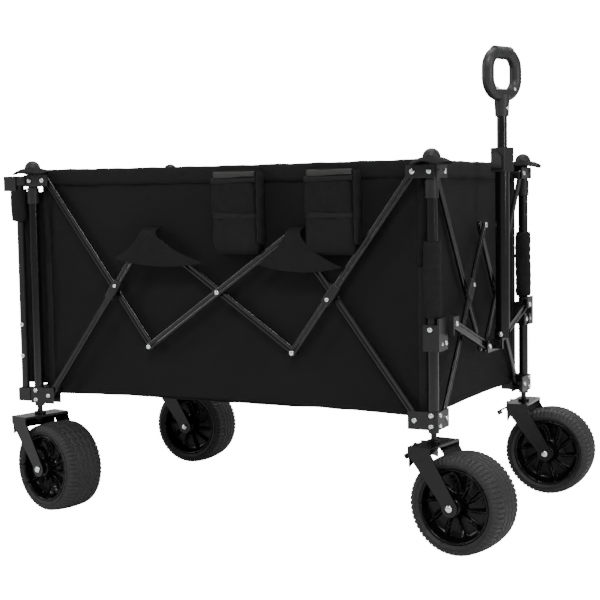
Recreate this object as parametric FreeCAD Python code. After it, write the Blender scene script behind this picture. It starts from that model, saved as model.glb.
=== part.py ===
import FreeCAD, Part
import math
import os

V = FreeCAD.Vector

# Overall layout, mm. X runs toward the pull handle, the right side is -Y, Z is up from the ground.
POST_SPACING_X = 970.0
POST_SPACING_Y = 580.0
ORIGIN_X = 47.713
ORIGIN_Y = -7.377

# Corner posts and their fittings
POST_D = 22.0
POST_WALL = 1.5
POST_BOTTOM = 232.0
POST_TOP = 770.0
PLUG_LENGTH = 48.0
CAP_D = 36.0
CAP_H = 18.0
CAP_PLUG_DEPTH = 20.0
PATCH_SIZE = 66.0
PATCH_T = 3.0
PATCH_GAP = 0.5
BRACKET_T = 2.3
BRACKET_GAP = 11.3
PIVOT_INSET = 35.5
PIVOT_BOTTOM_Z = 257.0
PIVOT_TOP_Z = 747.0
LEG_OVERHANG = 14.5
BOTTOM_BRACKET_Z = (239.0, 275.0)
BOTTOM_LEG_BACK = 14.0
TOP_BRACKET_Z = (734.0, 760.0)
TOP_LEG_BACK = 16.0
COLLAR_Z = (695.0, 730.0)
COLLAR_D = 27.0
RIVET_D = 10.0
RIVET_H = 3.0
PIN_D = 8.0
PIN_FIT = 0.05

# Scissor bars
BAR_W = 16.0
BAR_T = 8.0
LAYER = 5.5
SIDE_JOINT_X = 176.0
LONG_BAR_RISE = 367.3
SHORT_BAR_RISE = 377.0
SLIDER_LENGTH = 44.0
SLIDER_T = 5.0

# Rear stay tubes beside the rear posts
STAY_D = 18.0
STAY_OFFSET = 38.0
STAY_Z = (243.0, 757.0)
STAY_HOUSING = (34.0, 30.0, 34.0)

# Swivel casters
STEM_D = 12.0
STEM_FIT = 0.05
STEM_TOP = 268.0
CROWN_Z = (208.0, 213.0)
FORK_T = 4.0
FORK_OUTER_W = 124.0
LEG_TOP_W = 50.0
LEG_END_R = 17.0
TRAIL = 65.0
WHEEL_D = 200.0
WHEEL_W = 100.0
TYRE_INNER_D = 0.75 * WHEEL_D
RIM_WALL = 6.0
RIM_W = 88.0
HUB_D = 34.0
HUB_W = 108.0
AXLE_D = 10.0
AXLE_FIT = 0.06
SPOKES = 10
SWIVELS = {"rear_right": -14.0, "rear_left": 0.0, "front_right": -7.0, "front_left": 3.0}

# Brake levers on the front casters
LEVER_W = 26.0
LEVER_L = 34.0
LEVER_PIN_D = 5.0
LEVER_X = -31.0
LEVER_Z = 199.0
LEVER_TILT = 28.0

# Pull handle
ARM_PIVOT_Y = 240.0
ARM_PIVOT_Z = 445.0
YOKE_PIN_Y = 37.0
YOKE_PIN_Z = 378.0
ARM_LAYER = (20.0, 26.0)
ARM_W = 18.0
YOKE_PLATE = (27.0, 30.0)
HANDLE_X = 46.5
TUBE_D = 30.0
TUBE_INNER_D = 25.0
TUBE_BOTTOM = 394.0
TONGUE_T = 6.0
TONGUE_R = 9.0
HANDLE_PIVOT_Z = 402.0
CLAMP_SIZE = (38.0, 35.0)
CLAMP_Z = (747.0, 798.0)
UPPER_D = 22.0
UPPER_FIT = 0.05
UPPER_BOTTOM = 452.0
GRIP_NECK_D = 33.0
GRIP_NECK_Z = (864.0, 898.0)
RING_W = 92.0
RING_H = 88.0
RING_TUBE_D = 26.0
RING_TOP_Z = 1010.0
GRIP_TWIST = -20.0
BUTTON_SIZE = (28.0, 36.0)
BUTTON_BACK = 15.0
BUTTON_POCKET = 12.0
BUTTON_OUT = 3.5
BUTTON_FIT = 0.3

# Sleeves and hinge blocks of the front posts
SLEEVE_D = 34.0
SLEEVE_Z = (449.0, 610.0)
BLOCK_Z = (395.0, 447.0)

# Fabric liner, its floor and its pockets
WALL_INSET = 3.3
WALL_T = 4.0
WALL_BOTTOM = 258.0
FLOOR_Z = (262.0, 268.0)
GUSSET_Z = (280.0, 720.0)
SOFT_GAP = 0.5
POCKET_T = 3.0
POCKET_DEPTH = 42.0
POCKET_TOP = 755.0
POCKETS = (
    ((10.0, 580.0), (86.0, 580.0), (106.0, 597.0), (106.0, POCKET_TOP), (-6.0, POCKET_TOP), (-6.0, 597.0)),
    ((230.0, 580.0), (306.0, 580.0), (326.0, 603.0), (326.0, POCKET_TOP), (213.0, POCKET_TOP), (213.0, 599.0)),
)
FLAP_OUT = 14.0
FLAP_T = 3.0
FLAPS = (
    ((-256.0, 573.0), (-200.0, 562.0), (-144.0, 556.0), (-86.0, 559.0), (-29.0, 567.0), (-90.0, 590.0),
     (-152.0, 641.0), (-186.0, 641.0), (-208.0, 603.0)),
    ((106.0, 565.0), (150.0, 553.0), (200.0, 547.0), (250.0, 549.0), (296.0, 558.0), (226.0, 576.0),
     (206.0, 600.0), (200.0, 640.0), (168.0, 640.0), (152.0, 600.0)),
)

POST_X = POST_SPACING_X / 2
POST_Y = POST_SPACING_Y / 2
CORNERS = {
    "rear_right": (-1, -1),
    "rear_left": (-1, 1),
    "front_right": (1, -1),
    "front_left": (1, 1),
}
CENTRE_Z = (PIVOT_BOTTOM_Z + PIVOT_TOP_Z) / 2
UPPER_JOINT_Z = PIVOT_BOTTOM_Z + LONG_BAR_RISE
LOWER_JOINT_Z = PIVOT_TOP_Z - LONG_BAR_RISE


def box(x, y, z):
    """A box between the low and high value of each pair."""
    return Part.makeBox(x[1] - x[0], y[1] - y[0], z[1] - z[0], V(x[0], y[0], z[0]))


def rod(d, start, end):
    """A round bar between two points."""
    a, b = V(*start), V(*end)
    return Part.makeCylinder(d / 2, (b - a).Length, a, b - a)


def join(shapes):
    """One clean solid from overlapping shapes."""
    whole = shapes[0].multiFuse(shapes[1:]) if len(shapes) > 1 else shapes[0]
    return whole.removeSplitter()


def prism(outline, y0, y1):
    """A solid with an X-Z outline, running in Y from y0 to y1."""
    points = [V(x, y0, z) for x, z in outline]
    face = Part.Face(Part.makePolygon(points + [points[0]]))
    return face.extrude(V(0, y1 - y0, 0))


def dome(d, h, base, direction):
    """A shallow spherical cap standing on its flat side."""
    r = (d * d / 4 + h * h) / (2 * h)
    way = V(*direction)
    ball = Part.makeSphere(r, V(*base) - way * (r - h))
    return ball.common(Part.makeCylinder(d / 2 + 1, h + 1, V(*base), way))


def slot_bar(length, y0, y1, width):
    """A flat bar with round ends, from the origin along +X."""
    r = width / 2
    body = box((0, length), (y0, y1), (-r, r))
    ends = [rod(width, (x, y0, 0), (x, y1, 0)) for x in (0, length)]
    return join([body] + ends)


def side_bar(start, end, outer, holes, pins, heads, slider_at=None):
    """One scissor bar of a side, drawn in the X-Z plane of the side line.

    holes and pins are distances along the bar. A pin reaches from this bar's outer face into the other layer.
    """
    dx, dz = end[0] - start[0], end[1] - start[1]
    length = math.hypot(dx, dz)
    centre = -LAYER if outer else LAYER
    y0, y1 = centre - BAR_T / 2, centre + BAR_T / 2
    other = LAYER + BAR_T / 2
    parts = [slot_bar(length, y0, y1, BAR_W)]
    for x in pins:
        parts.append(rod(PIN_D, (x, y0, 0), (x, other, 0)))
    for x in list(pins) + list(heads):
        parts.append(dome(RIVET_D, RIVET_H, (x, y0, 0), (0, -1, 0)))
    if slider_at is not None:
        half = SLIDER_LENGTH / 2
        parts.append(
            box((slider_at - half, slider_at + half), (y0 - SLIDER_T, y0 + 1), (-BAR_W / 2, BAR_W / 2))
        )
    bar = join(parts)
    for x in holes:
        bar = bar.cut(rod(PIN_D + 2 * PIN_FIT, (x, -20, 0), (x, 20, 0)))
    bar.rotate(V(0, 0, 0), V(0, -1, 0), math.degrees(math.atan2(dz, dx)))
    bar.translate(V(start[0], 0, start[1]))
    return bar


def long_side_bars():
    """The six bars of a long side, in the X-Z plane with outward as -Y."""
    px = POST_X - PIVOT_INSET
    low1, low2 = (-SIDE_JOINT_X, LOWER_JOINT_Z), (SIDE_JOINT_X, LOWER_JOINT_Z)
    up1, up2 = (-SIDE_JOINT_X, UPPER_JOINT_Z), (SIDE_JOINT_X, UPPER_JOINT_Z)
    outer_l = math.hypot(px - SIDE_JOINT_X, LONG_BAR_RISE)
    inner_l = math.hypot(2 * SIDE_JOINT_X, UPPER_JOINT_Z - LOWER_JOINT_Z)
    cross = outer_l * (CENTRE_Z - PIVOT_BOTTOM_Z) / LONG_BAR_RISE
    return {
        "a": side_bar((-px, PIVOT_TOP_Z), low1, False, [0], [], []),
        "b": side_bar((-px, PIVOT_BOTTOM_Z), up1, True, [0], [outer_l], [], cross),
        "c": side_bar(low1, up2, True, [], [inner_l / 2, inner_l], [0]),
        "d": side_bar(up1, low2, False, [0, inner_l / 2], [], []),
        "e": side_bar((px, PIVOT_TOP_Z), low2, True, [0], [], [outer_l], cross),
        "f": side_bar((px, PIVOT_BOTTOM_Z), up2, False, [0, outer_l], [], []),
    }


def short_side_bars():
    """The four bars of a short side, drawn like a long side."""
    px = POST_Y - PIVOT_INSET
    up = (0.0, PIVOT_BOTTOM_Z + SHORT_BAR_RISE)
    low = (0.0, PIVOT_TOP_Z - SHORT_BAR_RISE)
    length = math.hypot(px, SHORT_BAR_RISE)
    cross = length * (CENTRE_Z - PIVOT_BOTTOM_Z) / SHORT_BAR_RISE
    return {
        "g": side_bar((-px, PIVOT_BOTTOM_Z), up, True, [0], [length], [], cross),
        "h": side_bar((px, PIVOT_BOTTOM_Z), up, False, [0, length], [], []),
        "i": side_bar((-px, PIVOT_TOP_Z), low, False, [0], [], []),
        "j": side_bar((px, PIVOT_TOP_Z), low, True, [0], [], [length], cross),
    }


def on_side(shape, side):
    """Carry a bar from the drawing plane to its side of the wagon."""
    placed = shape.copy()
    if side in ("right", "left"):
        placed.translate(V(0, -POST_Y, 0))
        return placed.mirror(V(0, 0, 0), V(0, 1, 0)) if side == "left" else placed
    placed.translate(V(0, -POST_X, 0))
    placed.rotate(V(0, 0, 0), V(0, 0, 1), 90)
    return placed.mirror(V(0, 0, 0), V(1, 0, 0)) if side == "rear" else placed


def post():
    """A corner post at the origin, with the bored plug that takes the caster stem."""
    tube = rod(POST_D, (0, 0, POST_BOTTOM), (0, 0, POST_TOP))
    hollow = rod(POST_D - 2 * POST_WALL, (0, 0, POST_BOTTOM + PLUG_LENGTH), (0, 0, POST_TOP + 1))
    bore = rod(STEM_D + 2 * STEM_FIT, (0, 0, POST_BOTTOM - 1), (0, 0, STEM_TOP + 1))
    return tube.cut(hollow).cut(bore)


def bracket(z, back, screws):
    """A pressed corner bracket around a post, with two channel legs toward +X and +Y."""
    inner, outer = BRACKET_GAP, BRACKET_GAP + BRACKET_T
    reach = PIVOT_INSET + LEG_OVERHANG
    middle = sum(z) / 2
    parts = [box((-outer, outer), (-outer, outer), z)]
    for a, b in ((-outer, -inner), (inner, outer)):
        start = -back if a < 0 else outer - 1
        parts.append(box((start, reach), (a, b), z))
        parts.append(box((a, b), (start, reach), z))
    parts.append(rod(PIN_D, (PIVOT_INSET, -outer, middle), (PIVOT_INSET, outer, middle)))
    parts.append(rod(PIN_D, (-outer, PIVOT_INSET, middle), (outer, PIVOT_INSET, middle)))
    for x, dz in [(PIVOT_INSET, 0)] + [(0, s) for s in screws]:
        parts.append(dome(RIVET_D, RIVET_H, (x, -outer, middle + dz), (0, -1, 0)))
        parts.append(dome(RIVET_D, RIVET_H, (-outer, x, middle + dz), (-1, 0, 0)))
    whole = join(parts)
    return whole.cut(rod(POST_D, (0, 0, z[0] - 1), (0, 0, z[1] + 1)))


def cap():
    """The domed end cap with its plug in the post."""
    base = POST_TOP + PATCH_GAP + PATCH_T + PATCH_GAP
    plug_d = POST_D - 2 * POST_WALL
    plug = rod(plug_d, (0, 0, POST_TOP - CAP_PLUG_DEPTH), (0, 0, base + 1))
    return join([dome(CAP_D, CAP_H, (0, 0, base), (0, 0, 1)), plug])


def collar():
    """The moulded collar under the top bracket."""
    ring = rod(COLLAR_D, (0, 0, COLLAR_Z[0]), (0, 0, COLLAR_Z[1]))
    return ring.cut(rod(POST_D, (0, 0, COLLAR_Z[0] - 1), (0, 0, COLLAR_Z[1] + 1)))


def stay():
    """The stay tube beside a rear post, with a clip at each end and the strap housing, toward -X."""
    outer = BRACKET_GAP + BRACKET_T
    low, high = BOTTOM_BRACKET_Z, TOP_BRACKET_Z
    parts = [rod(STAY_D, (-STAY_OFFSET, 0, STAY_Z[0]), (-STAY_OFFSET, 0, STAY_Z[1]))]
    for z in (low, high):
        parts.append(box((-STAY_OFFSET - 12, -BOTTOM_LEG_BACK - 3), (-13, 13), (z[0] + 3, z[1] - 3)))
    w, d, h = STAY_HOUSING
    top = high[1] - 2
    parts.append(box((-STAY_OFFSET - w, -STAY_OFFSET), (-d / 2, d / 2), (top - h, top)))
    for z in (346.0, 418.0):
        parts.append(dome(RIVET_D, RIVET_H + 1, (-STAY_OFFSET, -STAY_D / 2 + 1, z), (0, -1, 0)))
    whole = join(parts)
    return whole.cut(box((-outer - BRACKET_T - 1, 30), (-30, 30), (0, 900)))


def hinge_block():
    """The plastic block on a front post that holds a handle arm, toward +X and +Y."""
    out, back, front = BRACKET_GAP + BRACKET_T, ARM_LAYER[0], ARM_LAYER[1]
    py, pz, r = POST_Y - ARM_PIVOT_Y, ARM_PIVOT_Z, ARM_W / 2
    sleeve = box((-15, 19), (-16, 16), BLOCK_Z)
    web = box((15, back - 1), (-16, py + 14), (pz - 22, pz + 15))
    hood_top = box((back - 2, front + 5), (py - r - 8, py + 14), (pz + r + 2, pz + 15))
    hood_side = box((back - 2, front + 5), (py - r - 8, py - r - 3), (pz - 22, pz + 15))
    cheek = box((front + 1, front + 5), (py - r - 8, py + 14), (pz - 8, pz + 15))
    pin = rod(PIN_D, (back - 2, py, pz), (front + 2, py, pz))
    lug = box((out - 1, back - 4), (-12, 40), (BLOCK_Z[0], BLOCK_Z[0] + 30))
    rivets = [dome(RIVET_D, RIVET_H, (front + 5, py, pz), (1, 0, 0))]
    rivets += [dome(RIVET_D, RIVET_H, (back - 4, y, BLOCK_Z[0] + 14), (1, 0, 0)) for y in (4, 28)]
    rivets += [dome(RIVET_D, RIVET_H, (0, -16, BLOCK_Z[1] - 9), (0, -1, 0))]
    whole = join([sleeve, web, hood_top, hood_side, cheek, pin, lug] + rivets)
    return whole.cut(rod(POST_D, (0, 0, BLOCK_Z[0] - 1), (0, 0, BLOCK_Z[1] + 1)))


def post_sleeve():
    """The padded sleeve of a front post, above its hinge block."""
    ring = rod(SLEEVE_D, (0, 0, SLEEVE_Z[0] + 12), (0, 0, SLEEVE_Z[1]))
    return ring.cut(rod(POST_D, (0, 0, SLEEVE_Z[0]), (0, 0, SLEEVE_Z[1] + 1)))


def fork():
    """A pressed caster fork trailing toward +X, with its stem and axle."""
    half = FORK_OUTER_W / 2
    top = LEG_TOP_W / 2
    axle_z = WHEEL_D / 2
    crown = box((-top, top), (-half, half), CROWN_Z)
    collar_low = rod(26, (0, 0, CROWN_Z[1] - 1), (0, 0, CROWN_Z[1] + 5))
    stem = rod(STEM_D, (0, 0, CROWN_Z[0]), (0, 0, STEM_TOP))
    outline = [
        (-top, CROWN_Z[1]),
        (-top, CROWN_Z[0] - 10),
        (TRAIL - LEG_END_R, axle_z + 4),
        (TRAIL + LEG_END_R, axle_z + 4),
        (top, CROWN_Z[0] - 8),
        (top, CROWN_Z[1]),
    ]
    legs = []
    for y in (-half, half - FORK_T):
        legs.append(prism(outline, y, y + FORK_T))
        legs.append(rod(2 * LEG_END_R, (TRAIL, y, axle_z), (TRAIL, y + FORK_T, axle_z)))
    axle = rod(AXLE_D, (TRAIL, -half - 2, axle_z), (TRAIL, half + 2, axle_z))
    heads = [dome(14, 4, (TRAIL, s * half, axle_z), (0, s, 0)) for s in (-1, 1)]
    return join([crown, collar_low, stem, axle] + legs + heads)


def rim():
    """A wheel rim: barrel, web, hub and spokes, around the wheel axis along Y."""
    r = TYRE_INNER_D / 2
    inner = r - RIM_WALL
    barrel = rod(2 * r, (0, -RIM_W / 2, 0), (0, RIM_W / 2, 0))
    barrel = barrel.cut(rod(2 * inner, (0, -RIM_W, 0), (0, RIM_W, 0)))
    web = rod(2 * inner + 2, (0, -9, 0), (0, 9, 0))
    hub = rod(HUB_D, (0, -HUB_W / 2, 0), (0, HUB_W / 2, 0))
    spokes = []
    for n in range(SPOKES):
        for y in ((-RIM_W / 2 + 14, -8), (8, RIM_W / 2 - 14)):
            spoke = box((HUB_D / 2 - 3, inner + 1), y, (-3, 3))
            spoke.rotate(V(0, 0, 0), V(0, 1, 0), n * 360.0 / SPOKES)
            spokes.append(spoke)
    whole = join([barrel, web, hub] + spokes)
    return whole.cut(rod(AXLE_D + 2 * AXLE_FIT, (0, -80, 0), (0, 80, 0)))


def tyre():
    """A wide low tyre with four shallow grooves round its crowned tread."""
    r, half = WHEEL_D / 2, WHEEL_W / 2
    inner = TYRE_INNER_D / 2
    points = [(inner, -half + 6), (inner + 6, -half), (r - 14, -half + 1), (r - 4, -half + 8), (r, -half + 20)]
    mirrored = [(a, -b) for a, b in reversed(points)]
    outline = [V(a, b, 0) for a, b in points + mirrored]
    face = Part.Face(Part.makePolygon(outline + [outline[0]]))
    solid = face.revolve(V(0, 0, 0), V(0, 1, 0), 360)
    for y in (-18.0, -6.0, 6.0, 18.0):
        groove = rod(WHEEL_D + 4, (0, y - 1.2, 0), (0, y + 1.2, 0))
        solid = solid.cut(groove.cut(rod(WHEEL_D - 6, (0, y - 2, 0), (0, y + 2, 0))))
    return solid


def brake_lever():
    """A foot lever hung at the back of a front fork, toward -X."""
    pedal = box((-LEVER_L, 6), (-LEVER_W / 2, LEVER_W / 2), (-1.5, 2.5))
    knuckle = rod(12, (0, -LEVER_W / 2, 0), (0, LEVER_W / 2, 0))
    lip = box((-LEVER_L, -LEVER_L + 4), (-LEVER_W / 2, LEVER_W / 2), (-8, 1))
    whole = join([pedal, knuckle, lip])
    whole = whole.cut(rod(LEVER_PIN_D + 2 * PIN_FIT, (0, -40, 0), (0, 40, 0)))
    whole.rotate(V(0, 0, 0), V(0, 1, 0), -LEVER_TILT)
    whole.translate(V(LEVER_X, 0, LEVER_Z))
    return whole


def brake_ears():
    """The two ears and the pin on a front fork that carry the lever."""
    half = LEVER_W / 2 + 0.5
    parts = []
    for y in (-half - 4, half):
        parts.append(box((LEVER_X - 6, -20), (y, y + 4), (LEVER_Z - 6, CROWN_Z[1] - 1)))
    parts.append(rod(LEVER_PIN_D, (LEVER_X, -half - 2, LEVER_Z), (LEVER_X, half + 2, LEVER_Z)))
    return parts


def handle_arm():
    """The right handle arm, from its post block down to the yoke."""
    dy, dz = ARM_PIVOT_Y - YOKE_PIN_Y, YOKE_PIN_Z - ARM_PIVOT_Z
    length = math.hypot(dy, dz)
    arm = slot_bar(length, -ARM_LAYER[1], -ARM_LAYER[0], ARM_W)
    groove = box((16, length - 16), (-ARM_LAYER[1] - 1, -ARM_LAYER[0] - 3), (-ARM_W / 2 + 3, ARM_W / 2 - 3))
    arm = arm.cut(groove)
    arm = arm.cut(rod(PIN_D + 2 * PIN_FIT, (0, -60, 0), (0, 0, 0)))
    arm = arm.cut(rod(PIN_D + 2 * PIN_FIT, (length, -60, 0), (length, 0, 0)))
    arm.rotate(V(0, 0, 0), V(0, -1, 0), math.degrees(math.atan2(dz, dy)))
    arm.rotate(V(0, 0, 0), V(0, 0, 1), 90)
    arm.translate(V(POST_X, -ARM_PIVOT_Y, ARM_PIVOT_Z))
    return arm


def yoke():
    """The plate that joins the arms, with the tongue and pin of the handle pivot."""
    back, front = POST_X + YOKE_PLATE[0], POST_X + YOKE_PLATE[1]
    x, z = POST_X + HANDLE_X, HANDLE_PIVOT_Z
    half, t = TUBE_D / 2 + 0.6, TONGUE_T / 2
    plate = box((back, front), (-YOKE_PIN_Y - 13, YOKE_PIN_Y + 13), (YOKE_PIN_Z - 13, YOKE_PIN_Z + 13))
    tongue = box((front - 1, x), (-t, t), (YOKE_PIN_Z - 9, z + TONGUE_R))
    parts = [plate, tongue, rod(2 * TONGUE_R, (x, -t, z), (x, t, z))]
    for s in (-1, 1):
        parts.append(dome(RIVET_D, RIVET_H, (front, s * YOKE_PIN_Y, YOKE_PIN_Z), (1, 0, 0)))
        parts.append(dome(RIVET_D, RIVET_H, (x, s * half, z), (0, s, 0)))
    parts.append(rod(PIN_D, (x, -half - 1, z), (x, half + 1, z)))
    parts.append(rod(PIN_D, (POST_X + ARM_LAYER[0], -YOKE_PIN_Y, YOKE_PIN_Z), (back + 1, -YOKE_PIN_Y, YOKE_PIN_Z)))
    return join(parts)


def lower_tube():
    """The lower handle tube, slotted for the yoke's tongue and bored across for its pin."""
    x = POST_X + HANDLE_X
    gap = TONGUE_T / 2 + 0.4
    tube = rod(TUBE_D, (x, 0, TUBE_BOTTOM), (x, 0, CLAMP_Z[0]))
    tube = tube.cut(rod(TUBE_INNER_D, (x, 0, TUBE_BOTTOM + 20), (x, 0, CLAMP_Z[0] + 1)))
    tube = tube.cut(box((x - 20, x + 20), (-gap, gap), (TUBE_BOTTOM - 1, HANDLE_PIVOT_Z + TONGUE_R + 1)))
    return tube.cut(rod(PIN_D + 2 * PIN_FIT, (x, -40, HANDLE_PIVOT_Z), (x, 40, HANDLE_PIVOT_Z)))


def twisted(shape):
    """Turn a piece drawn facing +X at the handle line about that line."""
    placed = shape.copy()
    placed.rotate(V(0, 0, 0), V(0, 0, 1), GRIP_TWIST)
    placed.translate(V(POST_X + HANDLE_X, 0, 0))
    return placed


def button_outline(grow):
    """The arch-topped outline of the push button, as (across, up) points."""
    w, h = BUTTON_SIZE[0] / 2 + grow, BUTTON_SIZE[1] / 2 + grow
    z = sum(CLAMP_Z) / 2
    return [(-w, z - h), (w, z - h), (w, z + h - 11), (0, z + h), (-w, z + h - 11)]


def clamp():
    """The lock housing on the lower tube, with the guide bore and the button pocket."""
    dx, dy = CLAMP_SIZE
    body = box((-dx / 2, dx / 2), (-dy / 2, dy / 2), CLAMP_Z)
    body = body.makeFillet(4.0, [e for e in body.Edges if abs(e.tangentAt(e.FirstParameter).z) > 0.9])
    body = body.cut(rod(UPPER_D + 2 * UPPER_FIT, (0, 0, CLAMP_Z[0] - 1), (0, 0, CLAMP_Z[1] + 1)))
    return twisted(body.cut(prism(button_outline(BUTTON_FIT), -dy, -BUTTON_POCKET)))


def button():
    """The push button of the lock, standing out of the housing toward -Y."""
    return twisted(prism(button_outline(0), -CLAMP_SIZE[1] / 2 - BUTTON_OUT, -BUTTON_BACK))


def upper_tube():
    """The sliding upper handle tube."""
    return twisted(rod(UPPER_D, (0, 0, UPPER_BOTTOM), (0, 0, GRIP_NECK_Z[0])))


def grip():
    """The ring grip on its neck, swept round a rounded rectangle."""
    r = RING_TUBE_D / 2
    top, low = RING_TOP_Z - r, RING_TOP_Z - r - RING_H
    w, c = RING_W / 2, 34.0
    k = c * (1 - math.sqrt(0.5))
    edges = [
        Part.LineSegment(V(0, -w + c, low), V(0, w - c, low)).toShape(),
        Part.Arc(V(0, w - c, low), V(0, w - k, low + k), V(0, w, low + c)).toShape(),
        Part.LineSegment(V(0, w, low + c), V(0, w, top - c)).toShape(),
        Part.Arc(V(0, w, top - c), V(0, w - k, top - k), V(0, w - c, top)).toShape(),
        Part.LineSegment(V(0, w - c, top), V(0, -w + c, top)).toShape(),
        Part.Arc(V(0, -w + c, top), V(0, -w + k, top - k), V(0, -w, top - c)).toShape(),
        Part.LineSegment(V(0, -w, top - c), V(0, -w, low + c)).toShape(),
        Part.Arc(V(0, -w, low + c), V(0, -w + k, low + k), V(0, -w + c, low)).toShape(),
    ]
    path = Part.Wire(edges)
    section = Part.Wire(Part.Circle(V(0, 0, low), V(0, 1, 0), r).toShape())
    ring = path.makePipeShell([section], True, True)
    neck = Part.makeCone(GRIP_NECK_D / 2 - 2, GRIP_NECK_D / 2, low - GRIP_NECK_Z[0], V(0, 0, GRIP_NECK_Z[0]))
    return twisted(ring.fuse(neck).removeSplitter())


def liner_walls():
    """The four fabric walls, the rear gussets, the corner patches and the joint flaps, each a plain slab."""
    x = POST_X - POST_D / 2 - WALL_INSET - 1.0
    y = POST_Y - POST_D / 2 - WALL_INSET
    z = (WALL_BOTTOM, POST_TOP + PATCH_GAP)
    slabs = []
    for s in (-1, 1):
        a, b = sorted((s * y, s * (y - WALL_T)))
        slabs.append(box((-x, x), (a, b), z))
        a, b = sorted((s * x, s * (x - WALL_T)))
        slabs.append(box((a, b), (-y + WALL_T, y - WALL_T), z))
    stay_x = POST_X + STAY_OFFSET + STAY_D / 2
    for s in (-1, 1):
        a, b = sorted((s * y, s * (y - WALL_T)))
        slabs.append(box((-stay_x, -x - SOFT_GAP), (a, b), GUSSET_Z))
    half = PATCH_SIZE / 2
    for sx, sy in CORNERS.values():
        px, py = sx * POST_X, sy * POST_Y
        patch = box((px - half, px + half), (py - half, py + half), (z[1], z[1] + PATCH_T))
        hole = rod(POST_D - 2 * POST_WALL + 0.6, (px, py, 700), (px, py, 900))
        slabs.append(patch.cut(hole))
    for outline in FLAPS:
        for s in (-1, 1):
            a = s * (POST_Y + FLAP_OUT)
            slabs.append(prism(outline, a, a + s * FLAP_T))
    return slabs


def floor_half(s):
    """Half of the fabric floor, between a side wall and the centre crease."""
    x = POST_X - POST_D / 2 - WALL_INSET - 1.0 - WALL_T - SOFT_GAP
    y = POST_Y - POST_D / 2 - WALL_INSET - WALL_T - SOFT_GAP
    a, b = sorted((s * y, s * SOFT_GAP))
    return box((-x, x), (a, b), FLOOR_Z)


def grown(outline, by):
    """The outline moved inward by a wall thickness and upward out of the top."""
    xs = [p[0] for p in outline]
    zs = [p[1] for p in outline]
    cx, cz = (min(xs) + max(xs)) / 2, max(zs)
    wide = (max(xs) - min(xs) - 2 * by) / (max(xs) - min(xs))
    tall = (max(zs) - min(zs) - by) / (max(zs) - min(zs))
    inside = [(cx + (a - cx) * wide, cz + (b - cz) * tall) for a, b in outline]
    return [(a, b + 1) if b > cz - 1 else (a, b) for a, b in inside]


def pockets():
    """The two open pockets of the right side."""
    back = -(POST_Y - POST_D / 2 - WALL_INSET) - SOFT_GAP
    made = []
    for outline in POCKETS:
        whole = prism(outline, back - POCKET_DEPTH, back)
        hollow = prism(grown(outline, POCKET_T), back - POCKET_DEPTH + POCKET_T, back - POCKET_T)
        made.append(whole.cut(hollow))
    return made


def at_corner(shape, corner):
    """Carry a fitting drawn for the rear right corner to any corner."""
    sx, sy = CORNERS[corner]
    placed = shape.copy()
    if sx > 0:
        placed = placed.mirror(V(0, 0, 0), V(1, 0, 0))
    if sy > 0:
        placed = placed.mirror(V(0, 0, 0), V(0, 1, 0))
    placed.translate(V(sx * POST_X, sy * POST_Y, 0))
    return placed


def at_front_post(shape, sy):
    """Carry a fitting drawn for the front right post to the front post on side sy."""
    placed = shape.copy()
    if sy > 0:
        placed = placed.mirror(V(0, 0, 0), V(0, 1, 0))
    placed.translate(V(POST_X, sy * POST_Y, 0))
    return placed


def caster_piece(shape, corner):
    """Carry a caster piece drawn at the origin to its post, turned to its rest angle."""
    sx, sy = CORNERS[corner]
    placed = shape.copy()
    placed.rotate(V(0, 0, 0), V(0, 0, 1), SWIVELS[corner])
    placed.translate(V(sx * POST_X, sy * POST_Y, 0))
    return placed


def export(name, solids):
    """Write one node from a list of solids, about the frame origin."""
    whole = Part.Compound(solids) if len(solids) > 1 else solids[0]
    whole = whole.copy()
    whole.translate(V(-ORIGIN_X, -ORIGIN_Y, 0))
    whole.exportStep("parts/" + name + ".step")


def build():
    """Make and write every node."""
    os.makedirs("parts", exist_ok=True)
    long_bars, short_bars = long_side_bars(), short_side_bars()
    for side in ("right", "left"):
        for key, bar in long_bars.items():
            export("bar_" + side + "_" + key, [on_side(bar, side)])
    for side in ("front", "rear"):
        for key, bar in short_bars.items():
            export("bar_" + side + "_" + key, [on_side(bar, side)])

    low = bracket(BOTTOM_BRACKET_Z, BOTTOM_LEG_BACK, (11, -11))
    high = bracket(TOP_BRACKET_Z, TOP_LEG_BACK, (0,))
    wheel_rim, wheel_tyre, plain_fork = rim(), tyre(), fork()
    for shape in (wheel_rim, wheel_tyre):
        shape.translate(V(TRAIL, 0, WHEEL_D / 2))
    braked_fork = join([fork()] + brake_ears())
    for corner, (sx, sy) in CORNERS.items():
        fittings = [at_corner(f, corner) for f in (low, high, collar())]
        fork_shape = plain_fork
        if sx < 0:
            fittings.append(at_corner(stay(), corner))
        else:
            fork_shape = braked_fork
            fittings.append(at_front_post(hinge_block(), sy))
            export("post_sleeve_" + corner, [at_front_post(post_sleeve(), sy)])
            export("brake_lever_" + corner, [caster_piece(brake_lever(), corner)])
        export("brackets_" + corner, fittings)
        export("post_" + corner, [at_corner(post(), corner)])
        export("cap_" + corner, [at_corner(cap(), corner)])
        export("fork_" + corner, [caster_piece(fork_shape, corner)])
        export("rim_" + corner, [caster_piece(wheel_rim, corner)])
        export("tyre_" + corner, [caster_piece(wheel_tyre, corner)])

    arm = handle_arm()
    export("handle_arm_right", [arm])
    export("handle_arm_left", [arm.mirror(V(0, 0, 0), V(0, 1, 0))])
    export("handle_yoke", [yoke()])
    export("handle_lower_tube", [lower_tube()])
    export("handle_clamp", [clamp()])
    export("handle_button", [button()])
    export("handle_upper_tube", [upper_tube()])
    export("handle_grip", [grip()])
    export("liner_walls", liner_walls())
    export("liner_floor_right", [floor_half(-1)])
    export("liner_floor_left", [floor_half(1)])
    export("pockets", pockets())


build()
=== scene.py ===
import math

import bpy
import numpy as np
from mathutils import Matrix


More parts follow.
